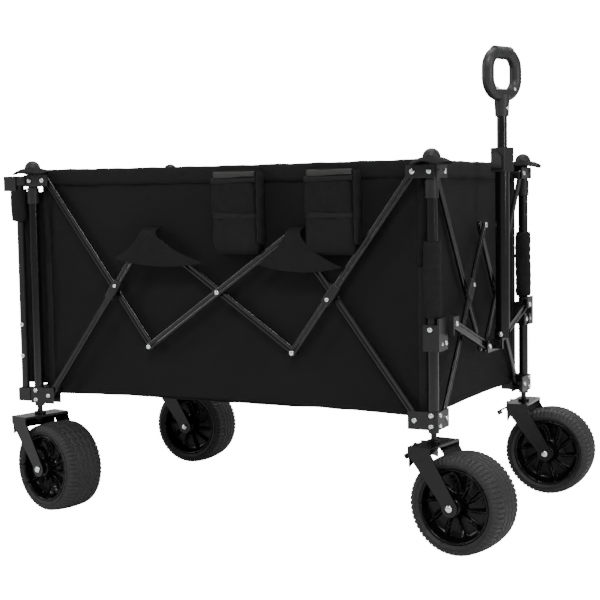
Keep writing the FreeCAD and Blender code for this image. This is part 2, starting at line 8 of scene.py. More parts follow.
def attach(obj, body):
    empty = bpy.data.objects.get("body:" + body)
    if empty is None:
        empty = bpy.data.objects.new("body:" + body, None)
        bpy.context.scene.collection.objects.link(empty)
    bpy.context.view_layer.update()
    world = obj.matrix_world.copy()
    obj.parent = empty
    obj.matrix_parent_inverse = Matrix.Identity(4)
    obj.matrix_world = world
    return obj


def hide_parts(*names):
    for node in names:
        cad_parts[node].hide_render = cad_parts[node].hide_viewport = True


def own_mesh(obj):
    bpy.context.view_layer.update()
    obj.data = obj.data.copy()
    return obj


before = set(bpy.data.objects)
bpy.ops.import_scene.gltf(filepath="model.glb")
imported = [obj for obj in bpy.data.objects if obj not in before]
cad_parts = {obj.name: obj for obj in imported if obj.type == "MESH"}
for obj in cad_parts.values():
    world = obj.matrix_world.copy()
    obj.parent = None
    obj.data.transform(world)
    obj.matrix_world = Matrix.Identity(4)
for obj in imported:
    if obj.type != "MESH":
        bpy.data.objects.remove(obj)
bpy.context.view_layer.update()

# All sizes are in metres, measured from the point on the ground midway between the posts.
# ORIGIN is where the frame's own origin lies from there.
ORIGIN = np.array([0.047713, -0.007377, 0.0])
POST_X, POST_Y = 0.485, 0.290
CORNERS = {"rear_right": (-1, -1), "rear_left": (-1, 1), "front_right": (1, -1), "front_left": (1, 1)}
TOP_Z = 0.7705
WALL_Y = 0.2762
WALL_Z = (0.259, 0.769)
STAY_X = -0.523
HANDLE_OUT = 0.0465
TRAIL = 0.065
SWIVELS = {"rear_right": -14.0, "rear_left": 0.0, "front_right": -7.0, "front_left": 3.0}
UP = np.array([0.0, 0.0, 1.0])

# How cloth would draw together as the wagon folds, not applied here: the axis, the still point and the share
# of length kept.
ALONG = ((1, 0, 0), (-0.470, 0, 0), 0.2)
ACROSS = ((0, 1, 0), (0, -0.275, 0), 0.27)


# ---------------------------------------------------------------- socket maths


class S:
    """A shader value that plain arithmetic can be done on."""

    def __init__(self, tree, out):
        self.tree, self.out = tree, out

    def op(self, kind, *others, clamp=False):
        n = self.tree.nodes.new("ShaderNodeMath")
        n.operation, n.use_clamp = kind, clamp
        for i, v in enumerate((self,) + others):
            if isinstance(v, S):
                self.tree.links.new(v.out, n.inputs[i])
            else:
                n.inputs[i].default_value = v
        return S(self.tree, n.outputs[0])

    def __add__(self, o):
        return self.op("ADD", o)

    def __sub__(self, o):
        return self.op("SUBTRACT", o)

    def __mul__(self, o):
        return self.op("MULTIPLY", o)

    def __truediv__(self, o):
        return self.op("DIVIDE", o)

    def sin(self):
        return self.op("SINE")

    def abs(self):
        return self.op("ABSOLUTE")

    def fract(self):
        return self.op("FRACT")

    def below(self, o):
        return self.op("LESS_THAN", o)

    def clamp(self):
        return self.op("ADD", 0.0, clamp=True)


class Shader:
    """One Principled material and the few other nodes it needs."""

    def __init__(self, name, colour, roughness, **constants):
        self.mat = bpy.data.materials.new(name)
        self.mat.use_nodes = True
        self.tree = self.mat.node_tree
        self.bsdf = self.tree.nodes["Principled BSDF"]
        self.bsdf.inputs["Base Color"].default_value = (*colour, 1)
        self.bsdf.inputs["Roughness"].default_value = roughness
        for key, value in constants.items():
            self.bsdf.inputs[key.replace("_", " ")].default_value = value

    def add(self, kind, links=None, **values):
        """Another node: values set its properties or sockets, links feed its sockets."""
        n = self.tree.nodes.new("ShaderNode" + kind)
        for key, value in values.items():
            if hasattr(n, key):
                setattr(n, key, value)
            else:
                n.inputs[key.replace("_", " ")].default_value = value
        for key, value in (links or {}).items():
            self.tree.links.new(value.out if isinstance(value, S) else value, n.inputs[key])
        return n

    def coords(self, uv=False):
        out = self.add("TexCoord").outputs["UV" if uv else "Object"]
        split = self.add("SeparateXYZ", {"Vector": out})
        return out, [S(self.tree, split.outputs[i]) for i in range(3)]

    def noise(self, vector, scale, detail=2.0, roughness=0.5):
        n = self.add("TexNoise", {"Vector": vector}, Scale=scale, Detail=detail, Roughness=roughness)
        return S(self.tree, n.outputs[0])

    def mix_colour(self, amount, low, high):
        n = self.add("Mix", data_type="RGBA")
        n.inputs[6].default_value, n.inputs[7].default_value = (*low, 1), (*high, 1)
        self.tree.links.new(amount.out, n.inputs[0])
        self.tree.links.new(n.outputs[2], self.bsdf.inputs["Base Color"])

    def rough(self, value):
        self.tree.links.new(value.clamp().out, self.bsdf.inputs["Roughness"])

    def bump(self, height, distance, strength=1.0):
        n = self.add("Bump", {"Height": height}, Distance=distance, Strength=strength)
        self.tree.links.new(n.outputs[0], self.bsdf.inputs["Normal"])


def shade(colour, share):
    """A colour made darker or lighter."""
    return tuple(c * share for c in colour)


def cloth_shader(name, colour, pitch=0.0011, lift=1.6, rough=0.8, stitch=False):
    """Plain weave seen in the sheet's own UV, in metres, with cloudy wear and soft creases."""
    m = Shader(name, colour, rough, Specular_IOR_Level=0.18)
    vector, (u, v, _) = m.coords(uv=True)
    warp = (u * (2 * math.pi / pitch)).sin().abs()
    weft = (v * (2 * math.pi / pitch)).sin().abs()
    weave = warp * weft
    cloud = m.noise(vector, 9.0, 4.0, 0.6)
    grain = m.noise(vector, 420.0, 2.0, 0.6)
    amount = (cloud * 0.75 + grain * 0.35 + weave * 0.25 - 0.3).clamp()
    m.mix_colour(amount, shade(colour, 0.72), shade(colour, lift))
    m.rough(cloud * 0.16 + (rough - 0.08))
    height = weave * 0.35 + cloud * 1.8 + m.noise(vector, 34.0, 3.0, 0.55) * 0.9
    if stitch:
        dash = (u / 0.0036).fract().below(0.62)
        row = ((v - 0.004).abs().below(0.0006)) * dash
        height = height - row * 2.0
    m.bump(height, 0.0011, 0.65)
    return m.mat


def paint_shader(name, colour, rough, coat=0.25, shine=0.2):
    """Powder coat: a fine orange peel, faint dust and worn patches."""
    m = Shader(name, colour, rough, Coat_Weight=coat, Coat_Roughness=0.16, Specular_IOR_Level=shine)
    vector, _ = m.coords()
    peel = m.noise(vector, 900.0, 2.0)
    wear = m.noise(vector, 22.0, 5.0, 0.65)
    m.mix_colour(wear, shade(colour, 0.7), shade(colour, 1.5))
    m.rough(wear * 0.2 + peel * 0.08 + (rough - 0.14))
    m.bump(peel, 0.00025, 0.5)
    return m.mat


def plastic_shader(name, colour, rough, grain=1500.0, depth=0.0002, shine=0.35):
    """Moulded plastic with a fine spark-eroded texture."""
    m = Shader(name, colour, rough, Specular_IOR_Level=shine)
    vector, _ = m.coords()
    fine = m.noise(vector, grain, 3.0, 0.6)
    cloud = m.noise(vector, 30.0, 3.0)
    m.mix_colour((cloud * 0.7 + fine * 0.3).clamp(), shade(colour, 0.8), shade(colour, 1.35))
    m.rough(cloud * 0.18 + (rough - 0.09))
    m.bump(fine, depth, 0.6)
    return m.mat


def rubber_shader(name, colour):
    """Tread rubber: dull, with dust in it and a granular skin."""
    m = Shader(name, colour, 0.7, Specular_IOR_Level=0.34)
    vector, _ = m.coords()
    dust = m.noise(vector, 45.0, 6.0, 0.7)
    fine = m.noise(vector, 1100.0, 3.0, 0.6)
    m.mix_colour((dust * 0.8 + fine * 0.4 - 0.1).clamp(), shade(colour, 0.6), shade(colour, 1.7))
    m.rough(dust * 0.25 + 0.5)
    m.bump(fine * 0.6 + dust * 0.5, 0.0004, 0.7)
    return m.mat


def zinc_shader(name):
    """Bright plated steel, brushed and slightly hazed."""
    m = Shader(name, (0.72, 0.73, 0.75), 0.24, Metallic=1.0)
    vector, _ = m.coords()
    haze = m.noise(vector, 260.0, 4.0, 0.6)
    m.mix_colour(haze, (0.55, 0.56, 0.58), (0.85, 0.86, 0.88))
    m.rough(haze * 0.3 + 0.12)
    m.bump(haze, 0.0001, 0.4)
    return m.mat


def mesh_shader(name, colour):
    """Open net: holes in rows through a thin black cloth, in the sheet's UV, with painted shade in the holes.
    """
    m = Shader(name, colour, 0.7, Specular_IOR_Level=0.16)
    vector, (u, v, _) = m.coords(uv=True)
    a = ((u + v) * (math.pi / 0.0016)).sin().abs()
    b = ((u - v) * (math.pi / 0.0016)).sin().abs()
    net = a * b
    cloud = m.noise(vector, 60.0, 3.0)
    # painted shade: the hole centres darken to 0.3 of the colour as the shade seen through the net, the
    # threads rise to 1.9
    m.mix_colour((net * 0.8 + cloud * 0.3).clamp(), shade(colour, 1.9), shade(colour, 0.3))
    m.rough(cloud * 0.2 + 0.55)
    m.bump(net * -1.0 + cloud, 0.0008, 0.8)
    return m.mat


MAT = {
    "frame": paint_shader("frame_paint", (0.0024, 0.0024, 0.0026), 0.17, 0.2, 0.26),
    "fork": paint_shader("fork_paint", (0.0020, 0.0020, 0.0022), 0.17, 0.16, 0.18),
    "bracket": paint_shader("bracket_paint", (0.0075, 0.0075, 0.0078), 0.38, 0.08, 0.3),
    "plastic": plastic_shader("dark_plastic", (0.0088, 0.0088, 0.0092), 0.5, shine=0.28),
    "soft_plastic": plastic_shader("soft_plastic", (0.015, 0.015, 0.0156), 0.42, 2200.0, 0.00012),
    "button": plastic_shader("button_plastic", (0.009, 0.009, 0.0096), 0.38),
    "rim": plastic_shader("rim_plastic", (0.0026, 0.0026, 0.0028), 0.22, 2600.0, 0.00006, 0.16),
    "tyre": rubber_shader("tyre_rubber", (0.0125, 0.0125, 0.0129)),
    "zinc": zinc_shader("zinc_plate"),
    "cloth": cloth_shader("liner_cloth", (0.0042, 0.0042, 0.0044)),
    "hem": cloth_shader("hem_cloth", (0.0050, 0.0050, 0.0052), stitch=True),
    "pocket": cloth_shader("pocket_cloth", (0.0050, 0.0050, 0.0052), pitch=0.0014),
    "binding": cloth_shader("binding_tape", (0.0080, 0.0080, 0.0083), pitch=0.0019, stitch=True),
    "sleeve": cloth_shader("sleeve_cloth", (0.0056, 0.0056, 0.0058), pitch=0.0016),
    "net": mesh_shader("pocket_net", (0.0030, 0.0030, 0.0032)),
    "strip": cloth_shader("pale_strip", (0.035, 0.035, 0.034), pitch=0.0016, lift=1.3),
}


# ---------------------------------------------------------------- mesh helpers


def mesh(name, points, faces, look, uv=None):
    """A mesh object from points measured from the middle of the posts."""
    data = bpy.data.meshes.new(name)
    points = np.asarray(points, float).reshape(-1, 3) - ORIGIN
    data.from_pydata(points.tolist(), [], [tuple(int(i) for i in f) for f in faces])
    if uv is not None:
        layer = data.uv_layers.new(name="UVMap")
        loops = np.empty(len(data.loops), np.int32)
        data.loops.foreach_get("vertex_index", loops)
        layer.data.foreach_set("uv", np.asarray(uv, float)[loops].ravel())
    data.polygons.foreach_set("use_smooth", np.ones(len(data.polygons), bool))
    data.materials.append(MAT[look])
    data.update()
    o = bpy.data.objects.new(name, data)
    bpy.context.scene.collection.objects.link(o)
    return o


def quads(rows, cols, wrap_r=False, wrap_c=False):
    """Faces of a grid of points, numbered row by row."""
    r = np.arange(rows if wrap_r else rows - 1)
    c = np.arange(cols if wrap_c else cols - 1)
    a, b = np.meshgrid(r, c, indexing="ij")
    n, m = (a + 1) % rows, (b + 1) % cols
    return np.stack([a * cols + b, a * cols + m, n * cols + m, n * cols + b], -1).reshape(-1, 4)


def lengths(grid):
    """UV in metres: distance along the middle column and middle row of a grid of points."""
    rows, cols = grid.shape[:2]
    v = np.r_[0, np.cumsum(np.linalg.norm(np.diff(grid[:, cols // 2], axis=0), axis=1))]
    u = np.r_[0, np.cumsum(np.linalg.norm(np.diff(grid[rows // 2], axis=0), axis=1))]
    uu, vv = np.meshgrid(u, v)
    return np.stack([uu, vv], -1).reshape(-1, 2)


def cloth(name, grid, look, thick, flip=False):
    """A sheet over a grid of points, thickened to both sides, with UV in metres."""
    rows, cols = grid.shape[:2]
    faces = quads(rows, cols)
    o = mesh(name, grid, faces[:, ::-1] if flip else faces, look, lengths(grid))
    s = o.modifiers.new("thickness", "SOLIDIFY")
    s.thickness, s.offset = thick, 0.0
    return o


def turned(name, profile, look, centre, axis, steps):
    """A profile of (radius, height) turned round an axis through centre."""
    w = np.asarray(axis, float) / np.linalg.norm(axis)
    e1 = np.cross(w, UP if abs(w[2]) < 0.9 else np.array([1.0, 0.0, 0.0]))
    e1 /= np.linalg.norm(e1)
    e2 = np.cross(w, e1)
    t = np.linspace(0, 2 * math.pi, steps, endpoint=False)
    p = np.asarray(profile, float)
    ring = np.cos(t)[None, :, None] * e1 + np.sin(t)[None, :, None] * e2
    grid = np.asarray(centre, float) + p[:, :1, None] * ring + p[:, 1:, None] * w
    return mesh(name, grid, quads(len(p), steps, wrap_c=True), look)


def sweep(path, section, up):
    """Points of a section of (side, up) pairs, which may change along the path, carried along it."""
    path = np.asarray(path, float)
    tangent = np.gradient(path, axis=0)
    tangent /= np.linalg.norm(tangent, axis=1)[:, None]
    up = np.broadcast_to(np.asarray(up, float), path.shape)
    side = np.cross(tangent, up)
    side /= np.linalg.norm(side, axis=1)[:, None]
    lift = np.cross(side, tangent)
    section = np.broadcast_to(section, (len(path),) + np.shape(section)[-2:])
    return path[:, None] + section[..., :1] * side[:, None] + section[..., 1:] * lift[:, None]


def round_box_section(width, height, power, steps):
    """A closed section: |2x/width|^power + |2y/height|^power = 1."""
    t = np.linspace(0, 2 * math.pi, steps, endpoint=False)
    c, s = np.cos(t), np.sin(t)
    return np.stack(
        [
            np.sign(c) * np.abs(c) ** (2 / power) * width / 2,
            np.sign(s) * np.abs(s) ** (2 / power) * height / 2,
        ],
        -1,
    )


def capped_tube(name, grid, look):
    """A closed tube over rows of section points, with a fan over each end."""
    rows, cols = grid.shape[:2]
    points = np.concatenate([grid.reshape(-1, 3), [grid[0].mean(0), grid[-1].mean(0)]])
    n = np.arange(cols)
    m = (n + 1) % cols
    start = np.stack([np.full(cols, rows * cols), m, n], -1)
    last = (rows - 1) * cols
    end = np.stack([np.full(cols, rows * cols + 1), last + n, last + m], -1)
    faces = [tuple(f) for f in quads(rows, cols, wrap_c=True)[:, ::-1]]
    return mesh(name, points, faces + [tuple(f[::-1]) for f in start] + [tuple(f[::-1]) for f in end], look)


def joined(name, objects):
    """Several mesh objects made into one."""
    bpy.ops.object.select_all(action="DESELECT")
    for o in objects:
        o.select_set(True)
    bpy.context.view_layer.objects.active = objects[0]
    bpy.ops.object.join()
    objects[0].name = name
    return objects[0]


def fold_gather(o, body):
    """Rides a body, with a mesh of its own."""
    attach(o, body)
    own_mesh(o)


def bumps(x, y, seed, count, low, high):
    """A smooth random field: a sum of sines of mixed directions and lengths over the root of their count."""
    rng = np.random.default_rng(seed)
    total = np.zeros(np.broadcast(x, y).shape)
    for _ in range(count):
        k = 2 * math.pi / rng.uniform(low, high)
        a, ph = rng.uniform(0, math.pi), rng.uniform(0, 2 * math.pi)
        total = total + np.sin(k * (x * math.cos(a) + y * math.sin(a)) + ph)
    return total / math.sqrt(count)


# ---------------------------------------------------------------- fabric walls


def wall_grid(half, z0, z1, cols, rows, seed, sag):
    """A flat wall's (u, z, out): out is a shallow hollow, creases from each corner, and small waves."""
    u = np.linspace(-half, half, cols)[None, :]
    v = np.linspace(0, 1, rows)[:, None]
    low = z0 + sag * np.sin(math.pi * (u + half) / (2 * half))
    z = low + (z1 - low) * v
    uu = u + 0 * v
    out = -0.006 * np.sin(math.pi * (uu + half) / (2 * half)) * np.sin(math.pi * v)
    out = out + 0.0011 * bumps(uu, z, seed, 9, 0.09, 0.3)
    for su in (-1, 1):
        for z_c, sz in ((z0, 1), (z1, -1)):
            dx, dz = (half - su * uu), sz * (z - z_c)
            r = np.hypot(dx, dz) + 1e-6
            a = np.arctan2(dz, dx)
            fade = np.exp(-((r / 0.2) ** 2)) * np.clip(r / 0.03, 0, 1)
            out = out + 0.0022 * np.sin(a * 11 + seed + su) * fade
    out = out * np.clip(np.minimum(half - np.abs(uu), 0.03) / 0.03, 0, 1)
    return uu, z, np.minimum(out, 0.0015)


def make_walls():
    """The four walls of the basket, each riding a post."""
    for side, s in (("right", -1), ("left", 1)):
        uu, z, out = wall_grid(0.470, *WALL_Z, 221, 121, 3 + s, 0.010)
        grid = np.stack([uu, s * (0.2737 + out), z], -1)
        o = cloth("wall_" + side, grid, "cloth", 0.0025, flip=s > 0)
        fold_gather(o, "post_rear_" + side)
        if side == "right":
            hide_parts("liner_walls")
    for end, s in (("front", 1), ("rear", -1)):
        uu, z, out = wall_grid(0.2695, *WALL_Z, 129, 121, 11 + s, 0.006)
        grid = np.stack([s * (0.4677 + out), uu, z], -1)
        o = cloth("wall_" + end, grid, "cloth", 0.0025, flip=s < 0)
        fold_gather(o, "post_%s_right" % end)


def hem_grid(half, line, cols):
    """A hem folded over the wall's top edge, from outside low to inside low, flared near its ends as x^2."""
    u = np.linspace(-half, half, cols)
    line = line + 0.0075 * np.clip((np.abs(u) - (half - 0.075)) / 0.075, 0, 1) ** 2
    profile = np.array(
        [
            [0.0024, -0.034],
            [0.0032, -0.026],
            [0.0034, -0.010],
            [0.0030, -0.002],
            [0.0012, 0.0012],
            [-0.0012, 0.0012],
            [-0.0030, -0.002],
            [-0.0034, -0.014],
            [-0.0030, -0.034],
        ]
    )
    sag = -0.0022 * np.sin(math.pi * (u + half) / (2 * half)) + 0.0005 * np.sin(u * 61)
    off = line[None, :] + profile[:, :1] * (1 + 0.10 * np.sin(u * 47)[None, :])
    z = TOP_Z + sag[None, :] + profile[:, 1:] + 0.0003 * np.sin(u * 140)[None, :]
    return np.broadcast_to(u[None, :], off.shape), off, z


def make_hems():
    """The stitched hem round the top edge, flared out to the posts at each corner."""
    for side, s in (("right", -1), ("left", 1)):
        u, off, z = hem_grid(0.478, 0.2745, 241)
        o = cloth("hem_" + side, np.stack([u, s * off, z], -1), "hem", 0.0012, flip=s < 0)
        fold_gather(o, "post_rear_" + side)
    for end, s in (("front", 1), ("rear", -1)):
        u, off, z = hem_grid(0.278, 0.4685, 141)
        o = cloth("hem_" + end, np.stack([s * off, u, z], -1), "hem", 0.0012, flip=s > 0)
        fold_gather(o, "post_%s_right" % end)


def make_seams():
    """The taped upright seams at the ends of each wall: a flat tape with a slight sideways wave."""
    for name, (sx, sy) in CORNERS.items():
        end, side = name.split("_")
        ww, vv = np.meshgrid(np.linspace(-0.009, 0.009, 5), np.linspace(0.262, 0.765, 60))
        wave = 0.0006 * np.sin(vv * 90) + 0.0004 * np.sin(vv * 37 + 1)
        on_long = np.stack([sx * (0.458 + ww + wave), 0 * ww + sy * 0.2759, vv], -1)
        on_end = np.stack([0 * ww + sx * 0.4700, sy * (0.258 + ww + wave), vv], -1)
        for axis, grid, body, how in (
            ("x", on_long, "post_rear_" + side, ALONG),
            ("y", on_end, "post_%s_right" % end, ACROSS),
        ):
            flip = (sx * sy > 0) == (axis == "x")
            o = cloth("seam_%s_%s" % (name, axis), grid, "binding", 0.0012, flip=flip)
            fold_gather(o, body)


def make_patches():
    """The soft square patch under each end cap: a superellipse of power 3.6 that droops as out^1.7."""
    for i, (name, (sx, sy)) in enumerate(CORNERS.items()):
        r = np.linspace(0, 1, 18)[:, None] ** 0.8
        t = np.linspace(0, 2 * math.pi, 97)[None, :]
        c, s = np.cos(t), np.sin(t)
        edge = 0.0385 / (np.abs(c) ** 3.6 + np.abs(s) ** 3.6) ** (1 / 3.6)
        radius = 0.0105 + (edge - 0.0105) * r
        out = np.clip((radius - 0.015) / 0.022, 0, 1.6)
        z = TOP_Z + 0.0034 - 0.0078 * out**1.7 + 0.0012 * np.sin(5 * t + i * 2.1) * out
        grid = np.stack([sx * POST_X + radius * c, sy * POST_Y + radius * s, z], -1)
        o = cloth("patch_" + name, grid, "hem", 0.0022)
        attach(o, "post_" + name)


def flap_grid(top, low, z_top, tips, drop, side, seed):
    """A fan over a joint: its sides curve in as s^1.7 and its lower edge hangs as a sine.

    top and low are the left and right x of its upper and lower edges, tips the two ends' heights below.
    """
    t = np.linspace(0, 1, 61)[None, :]
    s = np.linspace(0, 1, 41)[:, None]
    spread, fall = s**1.7, s**0.85
    x = (top[0] + (top[1] - top[0]) * t) * (1 - spread) + (low[0] + (low[1] - low[0]) * t) * spread
    edge = tips[0] + (tips[1] - tips[0]) * t - drop * np.sin(math.pi * t) ** 0.8
    z = z_top + (edge - z_top) * fall
    stand = 0.0300 * (1 - np.exp(-s / 0.05)) + 0.0025 * s
    fold = 0.0016 * np.sin(math.pi * 6 * t + seed) * s * (1 - 0.4 * s)
    tuck = 0.004 * np.abs(2 * t - 1) ** 8 * s
    return np.stack([x, side * (WALL_Y + stand + fold - tuck), z], -1)


def make_flaps():
    """The fan-shaped flaps over the upper joints, two on each long side."""
    shapes = (
        ((-0.186, -0.152), (-0.256, -0.029), 0.6415, (0.5725, 0.5645), 0.0125),
        ((0.170, 0.200), (0.104, 0.296), 0.6400, (0.5625, 0.5580), 0.0130),
    )
    for side, s in (("right", -1), ("left", 1)):
        for n, (top, low, z_top, tips, drop) in enumerate(shapes):
            grid = flap_grid(top, low, z_top, tips, drop, s, n * 1.3)
            o = cloth("flap_%s_%d" % (side, n + 1), grid, "hem", 0.0016, flip=s > 0)
            fold_gather(o, "post_rear_" + side)


def make_gussets():
    """The cloth between each rear stay and the wall, and the sleeve that wraps the top of the stay."""
    for side, s in (("right", -1), ("left", 1)):
        u = np.linspace(0, 1, 13)[None, :]
        v = np.linspace(0, 1, 80)[:, None]
        x = -0.5300 + 0.0650 * u + 0 * v
        z = 0.282 + 0.440 * v + 0 * u
        y = s * (0.2738 + 0.0014 * np.sin(u * 9 + 5 * v) + 0.0012 * np.sin(v * 17))
        o = cloth("gusset_" + side, np.stack([x, y, z], -1), "cloth", 0.0022, flip=s > 0)
        fold_gather(o, "post_rear_" + side)
        t = np.linspace(0, 2 * math.pi, 49)[None, :]
        w = np.linspace(0, 1, 25)[:, None]
        swell = 1 + 0.05 * np.sin(3 * t + 6 * w) + 0.06 * w
        grid = np.stack(
            [
                STAY_X - 0.004 + 0.0185 * swell * np.cos(t),
                s * POST_Y + 0.0125 * swell * np.sin(t),
                0.656 + 0.072 * w + 0.0015 * np.sin(2 * t),
            ],
            -1,
        )
        wrap = cloth("stay_wrap_" + side, grid, "sleeve", 0.0018)
        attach(wrap, "post_rear_" + side)


def make_corner_rolls():
    """The gathered upright fold where each long wall's end is turned in beside a post."""
    for name, (sx, sy) in CORNERS.items():
        t = np.linspace(0, math.pi, 17)[None, :]
        v = np.linspace(0, 1, 70)[:, None]
        r = 0.0075 * (0.35 + 0.65 * np.sin(math.pi * np.clip(v * 1.1, 0, 1)) ** 0.6) + 0.0006 * np.sin(v * 40)
        lean = 0.006 * (1 - v) ** 2
        x = sx * (0.4600 - lean) + r * np.cos(t) * 1.2
        y = sy * (0.2752 + r * np.sin(t))
        z = 0.560 + 0.195 * v + 0 * t
        o = cloth("corner_roll_" + name, np.stack([x, y, z], -1), "cloth", 0.0014, flip=sy < 0)
        side = name.split("_")[1]
        fold_gather(o, "post_rear_" + side)


def make_floor():
    """The two halves of the padded floor cloth, with a crease between them and quilting dimples."""
    for side, s in (("right", -1), ("left", 1)):
        x = np.linspace(-0.464, 0.464, 161)[None, :]
        v = np.linspace(0, 1, 61)[:, None]
        y = s * (0.0008 + (0.2700 - 0.0008) * (1 - v))
        z = 0.2655 + 0.0012 * bumps(x, y, 21 + s, 8, 0.08, 0.25) + 0 * x
        z = z + 0.0015 * np.abs(np.sin(x * math.pi / 0.155)) * np.sin(math.pi * v)
        grid = np.stack([x + 0 * y, y + 0 * x, z], -1)
        o = cloth("floor_cloth_" + side, grid, "cloth", 0.004, flip=s < 0)
        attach(o, "floor_" + side)
        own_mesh(o)
        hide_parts("liner_floor_" + side)


# ---------------------------------------------------------------- pockets


def pouch_grid(x0, x1, z_top, z_low, depth_top, depth_low, seed, corner=0.0):
    """A box-like pouch front that leaves the wall at both sides: x = c - a cos^(2/n) t, out = d sin^(2/n) t.

    With a corner height, the bottom closes as a quarter ellipse and draws in a little.
    """
    t = np.linspace(0, math.pi, 81)[None, :]
    v = np.linspace(0, 1, 61)[:, None]
    n = 5.0
    across = -np.sign(np.cos(t)) * np.abs(np.cos(t)) ** (2 / n)
    stand = np.abs(np.sin(t)) ** (2 / n)
    turn = 0.7 if corner else 1.0
    down = np.clip(v / turn, 0, 1)
    curl = np.clip((v - turn) / 0.3, 0, 1) * math.pi / 2
    z = z_top + (z_low + corner - z_top) * down - corner * np.sin(curl)
    depth = (depth_top + (depth_low - depth_top) * down**1.4) * (0.35 + 0.65 * np.cos(curl) ** 0.7)
    a = (x1 - x0) / 2 * (1 - 0.12 * np.sin(curl) ** 2)
    x = (x0 + x1) / 2 + a * across
    out = depth * stand + 0.0009 * bumps(x, z + 0 * x, seed, 8, 0.025, 0.08) * stand
    dip = 0.0016 * np.sin(across * 2.6 + seed) * (1 - down)
    return np.stack([x, -(WALL_Y + out), z + dip + 0 * x], -1)


def front_panel(x0, x1, z_low, z_high, out, round_top=0.0, rows=33):
    """A panel on a pocket's front. With round_top its width shrinks upward as (1 - v^6)^(1/3)."""
    u = np.linspace(-1, 1, 49)[None, :]
    v = np.linspace(0, 1, rows)[:, None]
    shrink = 1 - round_top * (1 - (1 - v**6) ** (1 / 3))
    x = (x0 + x1) / 2 + (x1 - x0) / 2 * u * shrink
    z = z_low + (z_high - z_low) * v + 0.0012 * np.sin(2 * u) * (1 - v)
    edge = 0.0022 * (np.abs(u) ** 8 + v**10)
    y = -(WALL_Y + out - edge + 0.0012 * np.sin(math.pi * (v * 0.9 + 0.05)))
    return np.stack([x, y + 0 * x, z + 0 * x], -1)


def make_pockets():
    """Two bottle pockets: a box of cloth with a net panel, a pale strip, a hemmed pouch and a taped side."""
    for n, (x0, x1, lean) in enumerate(((-0.005, 0.105, 0.002), (0.214, 0.326, -0.002))):
        zt = 0.7575 + lean / 2
        c = np.linspace(0, 1, 13)[None, :]
        d = np.linspace(0, 1, 60)[:, None]
        side_z = zt - 0.004 - (0.146 + 0.008 * (1 - c)) * d
        side_x = x1 + 0.0012 + 0.0006 * np.sin(d * 24) + 0.0008 * np.sin(c * 3.1)
        side = np.stack([side_x, -(WALL_Y + 0.0015 + 0.0325 * c + 0 * d), side_z + 0 * c], -1)
        upper = pouch_grid(x0, x1, zt, 0.655, 0.0325, 0.0335, 7 + n)
        pouch = pouch_grid(x0, x1, 0.668, 0.583, 0.0352, 0.0385, 11 + n, corner=0.034)
        net = front_panel(x0 + 0.003, x1 - 0.006, 0.666, 0.737, 0.0348, 0.30)
        strip = front_panel(x0 + 0.008, x1 - 0.004, 0.7435, 0.7555, 0.0346, rows=7)
        ridge = front_panel(x0 + 0.002, x1 - 0.002, 0.7320, 0.7425, 0.0350, rows=7)
        band = pouch_grid(x0 - 0.0006, x1 + 0.0006, 0.6690, 0.6585, 0.0372, 0.0374, 3 + n)
        pieces = (
            ("upper", upper, "pocket", (0.17, 0.1), True),
            ("pouch", pouch, "pocket", (0.17, 0.11), True),
            ("net", net, "net", (0.1, 0.07), False),
            ("strip", strip, "strip", (0.097, 0.012), False),
            ("ridge", ridge, "binding", (0.106, 0.0105), False),
            ("band", band, "binding", (0.17, 0.0105), True),
            ("side", side, "binding", (0.033, 0.15), True),
        )
        for key, grid, look, flat, flip in pieces:
            o = cloth("pocket_%d_%s" % (n + 1, key), grid, look, 0.0014, flip=flip)
            fold_gather(o, "post_rear_right")
            if key == "pouch":
                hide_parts("pockets")


# ---------------------------------------------------------------- bars and posts


def bar_visual(node, start, end, axis):
    """A flat-oval bar between two pivots, with round ends and a groove 1 - 0.32 exp(-(5 x)^4) along it."""
    a, b = np.array(start, float), np.array(end, float)
    way = (b - a) / np.linalg.norm(b - a)
    length = np.linalg.norm(b - a) + 0.016
    tip = np.array([0, 0.0008, 0.0025, 0.005, 0.009, 0.014, 0.024])
    s = np.concatenate([tip, np.linspace(0.04, length - 0.04, 5), length - tip[::-1]])
    path = a - 0.008 * way + s[:, None] * way
    near = np.minimum(s, length - s)
    width = 0.016 * np.sqrt(np.clip(1 - ((0.008 - np.minimum(near, 0.008)) / 0.008) ** 2, 0.02, 1))
    base = round_box_section(1.0, 1.0, 3.6, 56)
    deep = 0.32 * np.clip((near - 0.012) / 0.012, 0, 1)[:, None]
    groove = 1 - deep * np.exp(-((base[None, :, 0] / 0.2) ** 4))
    section = np.stack([base[None, :, 0] * width[:, None], base[None, :, 1] * 0.0076 * groove], -1)
    return capped_tube(node + "_bar", sweep(path, section, axis), "frame")


def bar_table():
    """Each CAD bar: its two pivots and the axis that its pivots run along."""
    px, up, low = 0.4495, 0.6243, 0.3797
    zb, zt = 0.257, 0.747
    inner, outer = -0.0055, 0.0055
    long_bars = {
        "a": ((-px, zt), (-0.176, low), inner),
        "b": ((-px, zb), (-0.176, up), outer),
        "c": ((-0.176, low), (0.176, up), outer),
        "d": ((-0.176, up), (0.176, low), inner),
        "e": ((px, zt), (0.176, low), outer),
        "f": ((px, zb), (0.176, up), inner),
    }
    py = 0.2545
    short_bars = {
        "g": ((-py, zb), (0.0, 0.634), outer),
        "h": ((py, zb), (0.0, 0.634), inner),
        "i": ((-py, zt), (0.0, 0.370), inner),
        "j": ((py, zt), (0.0, 0.370), outer),
    }
    rows = []
    for side, s in (("right", -1), ("left", 1)):
        for key, (p, q, layer) in long_bars.items():
            y = s * (POST_Y + layer)
            rows.append(("bar_%s_%s" % (side, key), (p[0], y, p[1]), (q[0], y, q[1]), (0, s, 0)))
    for end, s in (("front", 1), ("rear", -1)):
        for key, (p, q, layer) in short_bars.items():
            x = s * (POST_X + layer)
            rows.append(("bar_%s_%s" % (end, key), (x, p[0], p[1]), (x, q[0], q[1]), (s, 0, 0)))
    return rows


